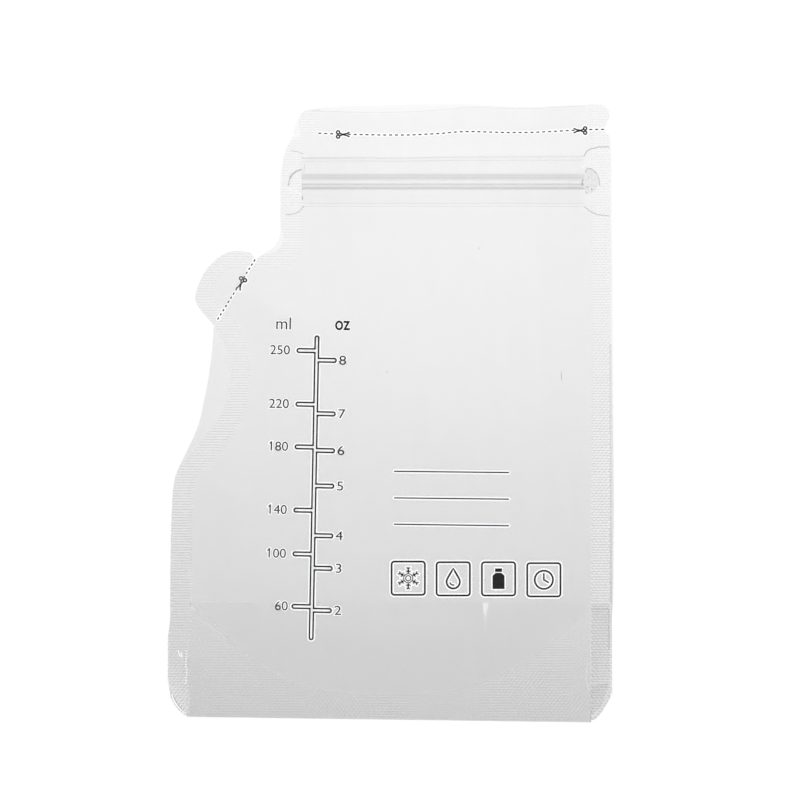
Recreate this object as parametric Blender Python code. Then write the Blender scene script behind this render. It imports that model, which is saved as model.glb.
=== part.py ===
# Breast milk storage bag, lying flat on its back: a pouch with a tear-off header,
# a press-to-close zip, a tear-off pouring spout and a folded base gusset.
# +Z points out of the front of the bag, +Y to its mouth, +X to its straight side.

import bpy
import bmesh
import math
from mathutils import Matrix, Vector

MM = 0.001

# Driving sizes of the bag
bag_width = 140 * MM
bag_height = 195 * MM
film = 0.1 * MM             # one layer of film
layer_gap = 0.3 * MM        # air between loose layers
seam_gap = 0.3 * MM         # between a film and the weld beside it
bond_gap = 0.1 * MM         # between a tape and the film that it is bonded to
seal_width = 6.4 * MM       # knurled heat seal along the sides
merge_distance = film / 1000
smooth_steps = 3            # points between two shaping points of a curve
fine_steps = 2              # and between those of the spout's ear
arc_steps = 5               # points on a rounded corner

# Header strip above the cut line
header_overhang = 0.5 * MM  # the strip's left end stands out past the neck's seal
header_height = 8.1 * MM
header_rise = 1.9 * MM      # the top edge climbs this much to the right
cut_rise = 1.4 * MM         # and the cut line this much
header_corner = 3.6 * MM
notch_depth = 1.9 * MM      # tear notch at the right end of the cut line

# Neck with the zip
neck_width = 103.4 * MM
neck_shoulder = 17.5 * MM   # height of the rounded top of the left neck edge
neck_foot_height = 3.4 * MM # the neck's edge turns in this far above the crease
edge_lean = 0.8 * MM        # the right edge leans in towards the top
crease_below_cut = 33.6 * MM

# Zip: two ribs on the front tape, two channels on the back tape
zip_below_cut = 15.5 * MM
zip_tape_width = 15.2 * MM
zip_tape = 0.2 * MM
zip_pitch = 2.84 * MM
zip_channel = 1.0 * MM      # clear width of a channel
zip_wall = 0.45 * MM
zip_wall_height = 0.7 * MM
zip_rib = 0.4 * MM
zip_rib_clearance = 0.3 * MM
zip_end_height = 21.6 * MM  # crushed tape ends inside the side seals
zip_end_disc = 4.0 * MM     # radius of the crushed rail ends
zip_disc_height = 0.3 * MM

# Pouring spout on the left shoulder
spout_setback = 8.5 * MM    # from the neck edge to the spout's cut line
spout_drop = 9.5 * MM
spout_cut = 24.1 * MM       # length of the spout's cut line
spout_lean = math.radians(57.6)
ear_height = 11.2 * MM      # the ear beyond the cut line

# Side below the spout
flange_width = 6.8 * MM     # loose film outside the curved seal
left_corner = 10 * MM
right_corner = 8 * MM
base_skew = 1.9 * MM        # the base edge drops this much to the right

# Base gusset
gusset_depth = 36.6 * MM    # from the fold line to the base edge
base_weld_height = 7.6 * MM # of the weld between films and gusset, in the middle
weld_arc_power = 2.5
arc_points = 28
disc_steps = 15             # points on a crushed rail end
tack_height = 10 * MM       # half-moon welds through the gusset's notches
tack_depth = 1.6 * MM

# Shapes as shares of the sizes that they follow
kept_offset_share = 0.98    # an offset point nearer than this to its path is folded over
hip_share = 0.31            # the full width is reached this far below the fold
tack_share = 0.55           # and the tacks sit this far below it, of the gusset's depth
ramp_share = 0.25           # the film over the zip slopes for this part of the tape's width
pad_margin_share = 0.15     # of the side seal's width, outside the flattened tape ends
neck_top_shares = ((0.0, 0.0), (0.42, 0.08), (0.67, 0.24), (0.91, 0.51), (1.0, 1.0))
neck_foot_shares = ((0.0, 0.0), (-0.106, 0.23), (-0.035, 0.47), (0.106, 0.65),
                    (0.41, 0.80), (0.706, 0.83), (1.0, 1.0))
channel_top_shares = ((0.0, 0.0), (0.04, 0.38), (0.13, 0.68), (0.32, 0.83),
                      (0.55, 0.91), (0.88, 0.98), (1.0, 1.0))
ear_shares = ((0.0, 0.0), (-0.044, 0.166), (-0.042, 0.258), (0.031, 0.571),
              (0.120, 0.776), (0.273, 0.927), (0.452, 1.0), (0.607, 0.978),
              (0.737, 0.918), (0.835, 0.836), (0.893, 0.683), (0.937, 0.465),
              (0.973, 0.172), (1.0, 0.0))
pocket_shares = ((0.166, 0.0), (0.207, 0.286), (0.263, 0.473), (0.415, 0.589),
                 (0.581, 0.554), (0.672, 0.411), (0.730, 0.196), (0.759, 0.0))
side_shares = ((0.0, 0.0), (0.02, 0.065), (0.10, 0.160), (0.205, 0.240),
               (0.315, 0.312), (0.508, 0.380), (0.700, 0.428), (0.831, 0.462),
               (0.917, 0.593), (0.944, 0.790), (0.952, 0.930), (1.0, 1.0))
flange_shares = ((0.0, 0.0), (0.020, 0.19), (0.060, 0.56), (0.105, 0.83),
                 (0.165, 1.0), (0.240, 1.07), (0.295, 0.86), (0.353, 0.55),
                 (0.390, 0.36), (0.422, 0.20), (0.450, 0.08), (0.480, 0.0),
                 (1.0, 0.0))

# Places that follow from the sizes
half_width = bag_width / 2
half_height = bag_height / 2
cut_right = half_height - header_height
right_top = half_width - edge_lean
neck_left = right_top - neck_width
neck_inner = neck_left + seal_width
cut_left_x = neck_inner - seam_gap
header_left = cut_left_x - header_overhang
header_width = right_top - header_left
crease = cut_right - cut_rise - crease_below_cut
base_left = -half_height + base_skew
fold = base_left + gusset_depth - base_skew / 2
weld_arc_depth = gusset_depth - base_weld_height
right_inner = half_width - seal_width
zip_y = cut_right - cut_rise / 2 - zip_below_cut
zip_end_right = right_inner - zip_end_disc / 2
zip_tracks = (-zip_pitch / 2, zip_pitch / 2)

# Heights of the layers above the table
back_level = 0.0
weld = 2 * film
leaf_level = film + layer_gap
front_leaf_level = leaf_level + film + layer_gap
front_level = front_leaf_level
foot_level = front_leaf_level + film + layer_gap
fold_axis_level = front_leaf_level - layer_gap / 2
tape_level = weld + bond_gap
rib_tip_level = tape_level + zip_tape + zip_rib_clearance
male_tape_level = tape_level + zip_tape + zip_wall_height + zip_rib_clearance
mouth_level = male_tape_level + zip_tape + bond_gap

# Spout axes: along its cut line from the top, and out of the bag
neck_foot = Vector((neck_left, crease + neck_foot_height))
spout_top = neck_foot - Vector((spout_setback, spout_drop))
spout_along = Vector((-math.cos(spout_lean), -math.sin(spout_lean)))
spout_out = Vector((-math.sin(spout_lean), math.cos(spout_lean)))
spout_foot = spout_top + spout_along * spout_cut


def clear_scene():
    for item in list(bpy.data.objects):
        bpy.data.objects.remove(item, do_unlink=True)


def new_collection(name):
    group = bpy.data.collections.new(name)
    bpy.context.scene.collection.children.link(group)
    return group


def new_material(name, colour, roughness, alpha):
    """A plain plastic: colour in linear light, and how much of it hides what is behind."""
    made = bpy.data.materials.new(name)
    made.use_nodes = True
    shader = made.node_tree.nodes["Principled BSDF"]
    shader.inputs["Base Color"].default_value = (*colour, 1)
    shader.inputs["Roughness"].default_value = roughness
    shader.inputs["Metallic"].default_value = 0.0
    shader.inputs["Alpha"].default_value = alpha
    made.diffuse_color = (*colour, alpha)
    return made


def smooth(points, steps=smooth_steps):
    """A curve through the points, with steps points for each stretch."""
    ends = [2 * points[0] - points[1]] + list(points) + [2 * points[-1] - points[-2]]
    curve = []
    for a, b, c, d in zip(ends, ends[1:], ends[2:], ends[3:]):
        for step in range(steps):
            t = step / steps
            curve.append(
                b
                + (c - a) * t / 2
                + (a - b * 2.5 + c * 2 - d / 2) * t ** 2
                + (b * 1.5 - a / 2 - c * 1.5 + d / 2) * t ** 3
            )
    return curve + [points[-1].copy()]


def shaped(shares, origin, across, along):
    """Shares of two sizes, as points from origin."""
    return [origin + across * x + along * y for x, y in shares]


def offset(path, distance):
    """The path moved to its left by distance, without the points that a tight bend folds over."""
    moved = []
    for i, point in enumerate(path):
        run = path[min(i + 1, len(path) - 1)] - path[max(i - 1, 0)]
        place = point + Vector((-run.y, run.x)).normalized() * distance
        if min((place - other).length for other in path) > abs(distance) * kept_offset_share:
            moved.append(place)
    return moved


def between(shares, value):
    """The share at value, read along a table of pairs."""
    for (a, low), (b, high) in zip(shares, shares[1:]):
        if value <= b:
            return low + (high - low) * (value - a) / (b - a)
    return shares[-1][1]


def corner(centre, radius, start, turn):
    """Points of a rounded corner, from the angle start through turn, in degrees."""
    angles = [math.radians(start + turn * i / arc_steps) for i in range(arc_steps + 1)]
    return [centre + Vector((math.cos(a), math.sin(a))) * radius for a in angles]


def cut_line(x):
    """Height of the header's cut line at x."""
    return cut_right - cut_rise * (right_top - x) / header_width


def base_line(x):
    """Height of the base edge at x."""
    return base_left - base_skew * (x + half_width) / bag_width


def weld_arc(x):
    """Height of the curved weld between film and gusset at x."""
    share = abs(x) / right_inner
    return fold - weld_arc_depth * max(0, 1 - share ** weld_arc_power)


def arc_path(left, right, gap):
    """The curved weld from left to right, moved up by gap."""
    xs = [left + (right - left) * i / arc_points for i in range(arc_points + 1)]
    return [Vector((x, weld_arc(x) + gap)) for x in xs]


# Outer edge of the left side, from the spout's cut line down to the corner
side_start = spout_foot
side_end = Vector((-half_width, fold - gusset_depth * hip_share))


def side_edge():
    across = Vector((side_end.x - side_start.x, 0))
    along = Vector((0, side_end.y - side_start.y))
    return smooth(shaped(side_shares, side_start, across, along))


def side_weld_edge():
    """Outer edge of the knurled seal, inside the loose flange."""
    drop = side_end.y - side_start.y
    return [
        p + Vector((flange_width * between(flange_shares, (p.y - side_start.y) / drop), 0))
        for p in side_edge()
    ]


def side_inner(extra=0.0):
    """Inner edge of the left seal, from the spout's channel always down to the base."""
    path = offset(side_weld_edge(), seal_width + extra)
    start = spout_top + spout_along * (spout_cut * pocket_shares[-1][0] - extra)
    furthest = max(p.x for p in path if p.y < start.y - seal_width)
    inner = [start]
    for point in path:
        drop = seal_width / 2 if len(inner) == 1 else seam_gap
        if point.x <= furthest and point.y < inner[-1].y - drop:
            inner.append(point)
    return inner


def left_reach():
    """Where the gusset's fold line meets the left seal, with its gap."""
    return next(p.x for p in side_inner(seam_gap) if p.y < fold + seam_gap)


def plate(name, outline, low, thickness, material, group):
    """A flat sheet with this outline, its underside at low."""
    curve = bpy.data.curves.new(name, "CURVE")
    curve.dimensions = "2D"
    curve.fill_mode = "BOTH"
    curve.extrude = thickness / 2
    line = curve.splines.new("POLY")
    line.points.add(len(outline) - 1)
    for point, place in zip(line.points, outline):
        point.co = (place.x, place.y, 0, 1)
    line.use_cyclic_u = True
    curve.materials.append(material)
    made = bpy.data.objects.new(name, curve)
    made.location.z = low + thickness / 2
    group.objects.link(made)
    return made


def as_mesh(source):
    """The same object as a welded mesh, in place of its curve."""
    bpy.context.view_layer.update()
    seen = source.evaluated_get(bpy.context.evaluated_depsgraph_get())
    mesh = bpy.data.meshes.new_from_object(seen)
    work = bmesh.new()
    work.from_mesh(mesh)
    bmesh.ops.remove_doubles(work, verts=work.verts, dist=merge_distance)
    work.to_mesh(mesh)
    work.free()
    name, group, place = source.name, source.users_collection[0], source.matrix_world.copy()
    bpy.data.objects.remove(source, do_unlink=True)
    made = bpy.data.objects.new(name, mesh)
    made.matrix_world = place
    group.objects.link(made)
    return made


def profile(name, section, left, right, material, group):
    """A section of (y, z) points drawn out along X from left to right."""
    bar = plate(name, [Vector(p) for p in section], 0, right - left, material, group)
    bar.matrix_world = Matrix(
        ((0, 0, 1, (left + right) / 2), (1, 0, 0, 0), (0, 1, 0, 0), (0, 0, 0, 1))
    )
    return as_mesh(bar)


def join(target, source):
    """A Boolean union with a flat shape, which stays as a hidden guide."""
    guide = as_mesh(source)
    guide.hide_render = True
    guide.display_type = "WIRE"
    union = target.modifiers.new("join", "BOOLEAN")
    union.operation = "UNION"
    union.solver = "EXACT"
    union.object = guide


def pivot(name, place, pieces, group):
    """An empty on a joint's axis that carries the pieces which move about it."""
    made = bpy.data.objects.new(name, None)
    made.location = place
    made.empty_display_size = seal_width
    group.objects.link(made)
    for piece in pieces:
        piece.parent = made
        piece.matrix_parent_inverse = Matrix.Translation(place).inverted()


def neck_edge():
    """Outer left edge of the neck, from the header's notch to the spout."""
    start = Vector((cut_left_x, cut_line(cut_left_x) - seam_gap))
    top = shaped(
        neck_top_shares, start, Vector((neck_left - start.x, 0)), Vector((0, -neck_shoulder))
    )
    low = shaped(
        neck_foot_shares, neck_foot, Vector((-spout_setback, 0)), Vector((0, -spout_drop))
    )
    return smooth(top) + inside_spout_cut(smooth(low), seam_gap)


def channel_top(gap=0.0):
    """Upper wall of the pouring channel, from the neck to the spout's cut line."""
    start = Vector((neck_inner, crease))
    end = spout_top + spout_along * (spout_cut * pocket_shares[0][0])
    path = smooth(
        shaped(channel_top_shares, start, Vector((end.x - start.x, 0)), Vector((0, end.y - start.y)))
    )
    return offset(path, gap) if gap else path


def inside_spout_cut(path, gap):
    """The points of the path that stay inside the spout's cut line by gap."""
    return [p for p in path if (p - spout_top).dot(spout_out) < -gap]


def make_left_neck_seal(group, material):
    back = -spout_out * seam_gap
    channel = channel_top()[::-1]
    outline = [Vector((neck_inner, cut_line(neck_inner) - seam_gap))] + neck_edge()
    outline += [spout_top + back, channel[0] + back] + channel[1:]
    plate("left_neck_seal", outline, back_level, weld, material, group)


def make_right_seal(group, material):
    right = [
        Vector((right_inner, cut_line(right_inner) - seam_gap)),
        Vector((right_inner, base_line(right_inner))),
    ]
    right += corner(
        Vector((half_width - right_corner, base_line(half_width) + right_corner)),
        right_corner, -90, 90,
    )[1:]
    right += [
        Vector((right_top, cut_line(right_top) - notch_depth)),
        Vector((right_top - notch_depth, cut_line(right_top) - seam_gap)),
    ]
    plate("right_side_seal", right, back_level, weld, material, group)


def make_left_side_seal(group, material):
    """The curved seal with the loose flange that was left outside it."""
    back = -spout_out * seam_gap
    inner = side_inner()
    inner_x = inner[-1].x
    centre = Vector((left_corner - half_width, base_left + left_corner))
    rounded = corner(centre, left_corner, 180, 90)
    outline = [spout_foot + back] + inside_spout_cut(side_edge(), seam_gap)
    outline += [p for p in rounded if p.x < inner_x - seam_gap]
    outline += [Vector((inner_x, base_line(inner_x)))]
    outline += inner[:0:-1] + [inner[0] + back]
    plate("left_side_seal", outline, back_level, weld, material, group)


def body_outline(top_left, top_right, bottom):
    """Inside of the seals, from two upper corners to a bottom path from left to right."""
    back = -spout_out * seam_gap
    spout_mouth = spout_top + spout_along * (spout_cut * pocket_shares[0][0] + seam_gap)
    side = [p for p in side_inner(seam_gap) if p.y > bottom[0].y]
    outline = [top_right, top_left] + channel_top(seam_gap)[1:-1]
    outline += [spout_mouth + back, side[0] + back] + side[1:]
    return outline + bottom


def make_films(group, material):
    left, right = neck_inner + seam_gap, right_inner - seam_gap
    outline = body_outline(
        Vector((left, cut_line(left) - seam_gap)),
        Vector((right, cut_line(right) - seam_gap)),
        arc_path(left_reach(), right, seam_gap),
    )
    plate("back_film", outline, back_level, film, material, group)
    outline = body_outline(
        Vector((left, crease - seam_gap / 2)),
        Vector((right, crease - seam_gap / 2)),
        [Vector((left_reach(), fold + seam_gap)), Vector((right, fold + seam_gap))],
    )
    plate("front_film", outline, front_level, film, material, group)


def leaf_outline():
    """The gusset's half-round leaf between its fold and the curved weld."""
    share = (1 - 3 * seam_gap / weld_arc_depth) ** (1 / weld_arc_power)
    arc = arc_path(-right_inner * share, right_inner * share, seam_gap)
    return [Vector((p.x, fold - seam_gap / 2)) for p in (arc[-1], arc[0])] + arc[1:-1]


def base_weld_outline():
    right = right_inner - seam_gap
    side = [p for p in side_inner(seam_gap) if p.y < fold - 2 * seam_gap]
    arc = arc_path(side[0].x, right, -seam_gap)
    side = [p for p in side if p.y < arc[0].y - seam_gap]
    left = side[-1].x
    corners = [Vector((right, base_line(right))), Vector((left, base_line(left)))]
    return corners + side[::-1] + arc


def half_moon(side):
    """A half-round weld against the inner edge of a side seal."""
    middle = fold - gusset_depth * tack_share
    points = []
    for i in range(2 * arc_steps + 1):
        angle = math.radians(-90 + 180 * i / (2 * arc_steps))
        x = side * (right_inner + seam_gap + tack_depth * math.cos(angle))
        points.append(Vector((x, middle + tack_height / 2 * math.sin(angle))))
    return points


def make_gusset(group, clear, sealed):
    leaf = leaf_outline()
    base_weld = base_weld_outline()
    plate("gusset_back_leaf", leaf, leaf_level, film, clear, group)
    plate("back_base_seal", base_weld, back_level, weld, sealed, group)
    foot = [
        plate("gusset_front_leaf", leaf, front_leaf_level, film, clear, group),
        plate("front_foot_film", leaf, foot_level, film, clear, group),
        plate("front_base_seal", base_weld, foot_level - film, weld, sealed, group),
    ]
    pivot("gusset_fold", Vector((0, fold, fold_axis_level)), foot, group)
    tack_low = weld + bond_gap
    for side, name in ((-1, "left_corner_tack"), (1, "right_corner_tack")):
        plate(name, half_moon(side), tack_low, foot_level - tack_low, sealed, group)


def make_mouth_film(group, material):
    """Front film of the neck, lifted over the zip, as one bent strip with a slanted lip."""
    left, right = neck_inner + seam_gap, right_inner - seam_gap
    lip = cut_line(left) - seam_gap
    ramp = zip_tape_width * ramp_share
    low, high = front_level, mouth_level
    tape_foot = zip_y - zip_tape_width / 2
    tape_top = zip_y + zip_tape_width / 2
    run = [
        (crease + seam_gap / 2, low),
        (tape_foot - ramp, low),
        (tape_foot, high),
        (tape_top, high),
        (min(tape_top + ramp, (tape_top + lip) / 2), low),
        (lip, low),
    ]
    section = run + [(y, z + film) for y, z in run[::-1]]
    strip = profile("front_mouth_film", section, left, right, material, group)
    place = strip.matrix_world
    for vertex in strip.data.vertices:
        at = place @ vertex.co
        if at.y > lip - merge_distance:
            at.y = cut_line(at.x) - seam_gap
            vertex.co = place.inverted() @ at
    return strip


def zip_section(plain, face, tip, rails):
    """A tape from its plain side to its railed face, with rails out to tip.

    Each rail is the place of its middle and its width."""
    low, high = zip_y - zip_tape_width / 2, zip_y + zip_tape_width / 2
    section = [(low, plain), (low, face)]
    for middle, width in rails:
        a, b = zip_y + middle - width / 2, zip_y + middle + width / 2
        section += [(a, face), (a, tip), (b, tip), (b, face)]
    return section + [(high, face), (high, plain)]


def zip_end_pad(x, reach, side):
    """Outline of the tape's flattened end, which widens into the side seal."""
    tape, flare = zip_tape_width / 2, zip_end_height / 2
    start, knee = x - side * seam_gap, (x + reach) / 2
    lower = [(start, -tape), (knee, -flare), (reach, -flare)]
    upper = [(px, -py) for px, py in lower[::-1]]
    return [Vector((px, zip_y + py)) for px, py in lower + upper]


def zip_end_lug(x, side):
    """Half disc of the crushed rail ends, its flat side at x."""
    angles = [math.radians(180 * i / disc_steps - 90) for i in range(disc_steps + 1)]
    return [
        Vector((x + side * zip_end_disc * math.cos(a), zip_y + zip_end_disc * math.sin(a)))
        for a in angles
    ]


def make_zip_female(group, tools, material):
    wall_at = (zip_channel + zip_wall) / 2
    walls = [
        (track + side * wall_at, zip_wall) for track in zip_tracks for side in (-1, 1)
    ]
    face = tape_level + zip_tape
    section = zip_section(tape_level, face, face + zip_wall_height, walls)
    strip = profile("zip_female_strip", section, neck_inner, zip_end_right, material, group)
    ends = (
        (-1, neck_inner, neck_left + seal_width * pad_margin_share),
        (1, zip_end_right, right_top - seal_width * pad_margin_share),
    )
    for side, x, reach in ends:
        pad = zip_end_pad(x, reach, side)
        join(strip, plate("zip_end_pad", pad, tape_level, zip_tape, material, tools))
        middle = tape_level + zip_tape / 2
        height = zip_tape / 2 + zip_disc_height
        join(strip, plate("zip_end_lug", zip_end_lug(x, side), middle, height, material, tools))


def make_zip_male(group, material):
    ribs = [(track, zip_rib) for track in zip_tracks]
    section = zip_section(male_tape_level + zip_tape, male_tape_level, rib_tip_level, ribs)
    left, right = neck_inner + seam_gap, zip_end_right - seam_gap
    return profile("zip_male_strip", section, left, right, material, group)


def header_top(x):
    """Height of the header's top edge at x."""
    return half_height - header_rise * (right_top - x) / header_width


def make_header(group, clear, sealed):
    left_in, right_in = header_left + seal_width, right_top - seal_width
    a, b = left_in + seam_gap, right_in - seam_gap
    strip = [(a, cut_line(a)), (b, cut_line(b)), (b, header_top(b)), (a, header_top(a))]
    strip = [Vector(p) for p in strip]

    left = [Vector((left_in, cut_line(left_in))), Vector((left_in, header_top(left_in)))]
    centre = Vector((header_left + header_corner, header_top(header_left) - header_corner))
    left += corner(centre, header_corner, 90, 90)
    left += [Vector((cut_left_x, cut_line(cut_left_x)))]

    right = [Vector((right_in, header_top(right_in))), Vector((right_in, cut_line(right_in)))]
    right += [Vector((right_top - notch_depth, cut_line(right_top)))]
    centre = Vector((right_top - header_corner, header_top(right_top) - header_corner))
    right += corner(centre, header_corner, 0, 90)

    pieces = [
        plate("header_back_film", strip, back_level, film, clear, group),
        plate("header_front_film", strip, front_level, film, clear, group),
        plate("header_left_seal", left, back_level, weld, sealed, group),
        plate("header_right_seal", right, back_level, weld, sealed, group),
    ]
    pivot("header_cut", Vector((cut_left_x, cut_line(cut_left_x), 0)), pieces, group)


def make_spout_ear(group, clear, sealed):
    cut, out = spout_along * spout_cut, spout_out * ear_height
    edge = smooth(shaped(ear_shares, spout_top, cut, out), fine_steps)
    pocket = smooth(shaped(pocket_shares, spout_top, cut, out), fine_steps)
    inner = offset(pocket, seam_gap)
    pieces = [
        plate("spout_ear_seal", edge + pocket[::-1], back_level, weld, sealed, group),
        plate("spout_back_film", inner, back_level, film, clear, group),
        plate("spout_front_film", inner, front_level, film, clear, group),
    ]
    pivot("spout_cut_line", spout_top.to_3d(), pieces, group)


def main():
    clear_scene()
    bag = new_collection("milk_storage_bag")
    tools = new_collection("guides")
    clear = new_material("clear_film", (0.86, 0.87, 0.88), 0.08, 0.35)
    sealed = new_material("knurled_weld", (0.80, 0.81, 0.82), 0.35, 0.55)
    tape = new_material("zip_tape", (0.74, 0.75, 0.76), 0.20, 0.60)
    make_films(bag, clear)
    make_left_neck_seal(bag, sealed)
    make_left_side_seal(bag, sealed)
    make_right_seal(bag, sealed)
    make_gusset(bag, clear, sealed)
    make_zip_female(bag, tools, tape)
    mouth = [make_mouth_film(bag, clear), make_zip_male(bag, tape)]
    crease_place = Vector(((neck_inner + right_inner) / 2, crease, front_level + film / 2))
    pivot("mouth_crease", crease_place, mouth, bag)
    make_header(bag, clear, sealed)
    make_spout_ear(bag, clear, sealed)


main()
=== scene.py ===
# Looks of the milk storage bag: clear printed film, knurled heat seals, a press-to-close
# zip, a tear-off header and spout, and a folded base. Lengths are in metres.

import math

import bpy
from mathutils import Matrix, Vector, geometry, kdtree, noise

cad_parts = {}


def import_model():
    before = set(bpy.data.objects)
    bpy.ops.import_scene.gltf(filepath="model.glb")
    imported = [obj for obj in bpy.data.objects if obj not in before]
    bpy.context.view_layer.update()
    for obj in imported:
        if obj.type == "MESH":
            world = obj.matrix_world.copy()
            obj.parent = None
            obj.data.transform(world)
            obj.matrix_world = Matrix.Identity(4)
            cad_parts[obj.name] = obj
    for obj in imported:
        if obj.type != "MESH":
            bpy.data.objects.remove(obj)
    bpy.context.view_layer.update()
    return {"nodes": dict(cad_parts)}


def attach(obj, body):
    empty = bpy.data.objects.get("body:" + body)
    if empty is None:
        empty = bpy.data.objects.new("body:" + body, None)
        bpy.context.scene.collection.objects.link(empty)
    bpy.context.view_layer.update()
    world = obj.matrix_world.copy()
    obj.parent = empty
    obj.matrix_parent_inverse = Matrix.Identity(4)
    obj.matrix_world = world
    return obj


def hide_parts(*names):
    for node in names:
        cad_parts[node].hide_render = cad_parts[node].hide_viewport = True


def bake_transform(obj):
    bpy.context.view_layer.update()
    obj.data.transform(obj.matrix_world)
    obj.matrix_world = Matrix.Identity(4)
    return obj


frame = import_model()

MM = 0.001

# Layers above the table, with the bag lying empty and flat
back_height = 0.06 * MM
weld_height = 0.22 * MM
weld_thickness = 0.16 * MM
back_leaf_height = 0.18 * MM
front_leaf_height = 0.30 * MM
front_height = 0.42 * MM
gusset_edge_height = 0.14 * MM
base_edge_height = 0.12 * MM
tack_height = 0.25 * MM
settle_width = 20 * MM          # the loose film comes down to a weld over this width
ink_height = 0.03 * MM
line_height = 0.015 * MM        # of fine lines on the film
above_knurl = 0.06 * MM         # of fine lines over the knurl
joint_gap = 0.3 * MM            # between neighbouring solids of the frame, closed here

# Grid of points in a sheet: its step, finer where creases need it, and the share of the
# step that stays free along the edge, in smooth film and in the knurl
sheet_step = 2.5 * MM
back_step = 4 * MM
crease_step = 0.7 * MM
edge_clear_share = 0.4
knurl_clear_share = 0.3
outline_step = 1 * MM           # between the points of an outline that is measured or recut

# Knurl of the sealing bars: rows of dots across the seal
knurl_row = 0.85 * MM
knurl_dot = 1.3 * MM
row_relief = 0.010 * MM
dot_relief = 0.012 * MM
base_relief_share = 0.6         # the base's and the tacks' bars press less
# The base's two bars stood this many radians askew, so that their rows cross in a weave
turn_behind, turn_before = 0.03, -0.02
# How hard the bars pressed at each height in millimetres: least at the mouth
knurl_press = (
    (-98.0, 1.9), (-84.0, 1.5), (-66.0, 1.2), (-50.0, 1.3), (4.0, 0.48), (36.0, 0.33),
    (67.0, 0.19), (100.0, 0.09),
)

# Zip
zip_y = 73.2 * MM
tape_half = 7.6 * MM
tape_ramp = 9 * MM
mouth_rise = 0.12 * MM
tape_sink = 0.06 * MM           # the front tape lies this far under the front film
female_tape_height = 0.14 * MM
crushed_lift = 0.12 * MM        # the crushed end of the rails lies this far over the weld
tape_end = 61.4 * MM
# Channel walls and ribs: place from the zip's middle, and radius, in millimetres
slim_walls = ((2.14, 0.30), (0.84, 0.44))
stout_walls = ((-0.86, 0.20), (-2.16, 0.40))
zip_ribs = ((1.5, 0.40), (-1.4, 0.24))
rail_step, rail_facets = 2 * MM, 6

# Places of the joints' lines
fold_y = -59.95 * MM
crease_y = 54.4 * MM
foot_left, foot_right = -63.3 * MM, 63.6 * MM
mouth_left, mouth_right = -27.8 * MM, 63.6 * MM
mouth_top_left, mouth_top_right = 87.85 * MM, 89.05 * MM

# Rounded lower corners of the side seals, in millimetres
right_corner = (
    (62.9, -97.4), (64.95, -96.4), (67.0, -94.2), (68.42, -91.7), (69.46, -89.9),
    (69.75, -88.6), (69.84, -87.2),
)
left_corner = (
    (-69.94, -84.6), (-69.6, -87.7), (-69.15, -90.0), (-68.3, -91.6), (-67.1, -93.35),
    (-65.6, -94.8), (-63.8, -95.76),
)
# Where the left side widens below its waist
left_waist = (
    (-62.9, -9.4), (-64.8, -13.2), (-66.2, -16.0), (-67.3, -18.4), (-68.1, -21.0), (-68.6, -25.5),
)
# Top edge of the header's front film
header_top = (
    (61.7, 96.94), (49.7, 96.43), (39.4, 96.18), (29.2, 96.49), (24.06, 96.52), (18.9, 96.08),
    (9.8, 95.4), (-0.5, 94.99), (-10.75, 95.07), (-21.0, 95.4), (-25.0, 95.6),
)

# Curved weld of the gusset, and the loose flange outside the left seal
weld_arc_depth = 29.0 * MM
weld_arc_power = 2.5
flange_width = 6.8 * MM
flange_top, flange_drop = Vector((-55.6 * MM, 28.0 * MM)), 99.25 * MM
# Shares of the way down the left side, and the flange's width there as a share of the full one
flange_shares = (
    (0.0, 0.0), (0.020, 0.19), (0.060, 0.56), (0.105, 0.83), (0.165, 1.0), (0.240, 1.07),
    (0.295, 0.86), (0.353, 0.55), (0.390, 0.36), (0.422, 0.20), (0.450, 0.08), (0.480, 0.0),
)


# Colours and materials

def colour(code):
    """An sRGB hex colour in linear light."""
    parts = [int(code[i:i + 2], 16) / 255 for i in (1, 3, 5)]
    return tuple(p / 12.92 if p < 0.04045 else ((p + 0.055) / 1.055) ** 2.4 for p in parts) + (1.0,)


def add(tree, kind, inputs=(), **settings):
    """A node with its settings; each input is a value, or the socket that feeds it."""
    made = tree.nodes.new(kind)
    for key, value in settings.items():
        setattr(made, key, value)
    for key, value in dict(inputs).items():
        if isinstance(value, bpy.types.NodeSocket):
            tree.links.new(value, made.inputs[key])
        else:
            made.inputs[key].default_value = value
    return made


# Sockets of the Mix node: its two colours come after its number and vector ones
first_colour, second_colour, mixed_colour = 6, 7, 2


def new_material(name):
    """A material and its emptied node tree."""
    made = bpy.data.materials.new(name)
    made.use_nodes = True
    made.node_tree.nodes.clear()
    return made, made.node_tree


def dot_pattern(tree, place):
    """1 on the raised dots of the knurl, which stand staggered along its rows, and 0 between."""
    parts = add(tree, "ShaderNodeSeparateXYZ", {"Vector": place})
    turns = {}
    for name, axis, pitch in (
        ("row", "Y", knurl_row), ("step", "Y", 2 * knurl_row), ("dot", "X", knurl_dot),
    ):
        turns[name] = add(
            tree, "ShaderNodeMath",
            {0: parts.outputs[axis], 1: 2 * math.pi / pitch}, operation="MULTIPLY",
        ).outputs["Value"]
    rows = add(tree, "ShaderNodeMath", {0: turns["row"]}, operation="SINE")
    shifted = add(tree, "ShaderNodeMath", {0: turns["dot"], 1: turns["step"]}, operation="ADD")
    dots = add(tree, "ShaderNodeMath", {0: shifted.outputs["Value"]}, operation="SINE")
    raised = add(
        tree, "ShaderNodeMapRange",
        {"Value": dots.outputs["Value"], "From Min": -1.0, "To Min": 0.25},
    )
    both = add(
        tree, "ShaderNodeMath",
        {0: rows.outputs["Value"], 1: raised.outputs["Result"]}, operation="MULTIPLY", use_clamp=True,
    )
    return both.outputs["Value"]


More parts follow.
